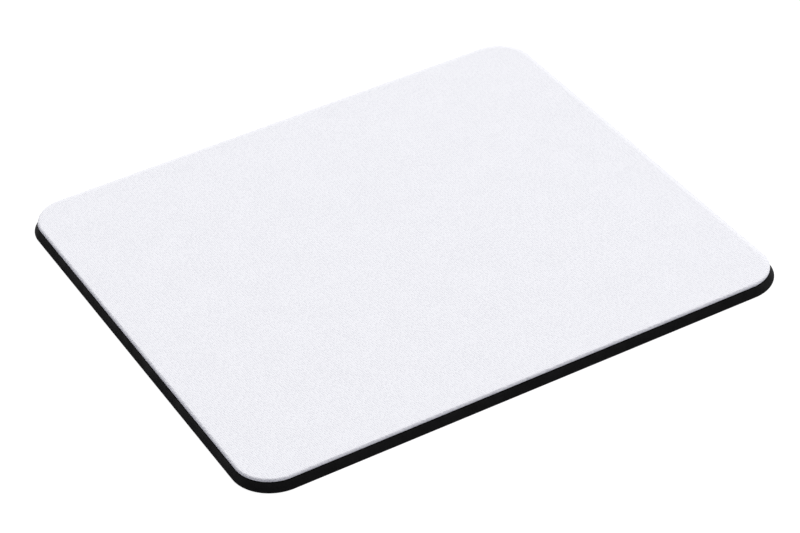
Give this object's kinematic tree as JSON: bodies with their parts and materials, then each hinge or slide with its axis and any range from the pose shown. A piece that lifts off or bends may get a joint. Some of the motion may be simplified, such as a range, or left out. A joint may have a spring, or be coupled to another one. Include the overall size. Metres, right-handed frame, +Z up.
{
  "type": "mouse pad",
  "caption": "Thin rectangular mouse pad with rounded corners: a white cloth face bonded to a black foam rubber base that lies on a desk and gives a mouse an even surface.",
  "frame": {"origin": "middle of the underside, where the pad lies on the desk", "axes": "+X along the long side, +Y along the short side, +Z up out of the cloth face"},
  "size_m": [0.2286, 0.2032, 0.0048],
  "materials": {
    "foam_rubber": "matte black foam rubber, die-cut wall, embossed grip skin underneath",
    "bonding_film": "dark hot-melt adhesive film",
    "white_cloth": "matte white fine polyester cloth"
  },
  "bodies": {
    "root": {"rubber_base": "foam_rubber", "adhesive_film": "bonding_film", "fabric_top": "white_cloth"}
  },
  "joints": []
}
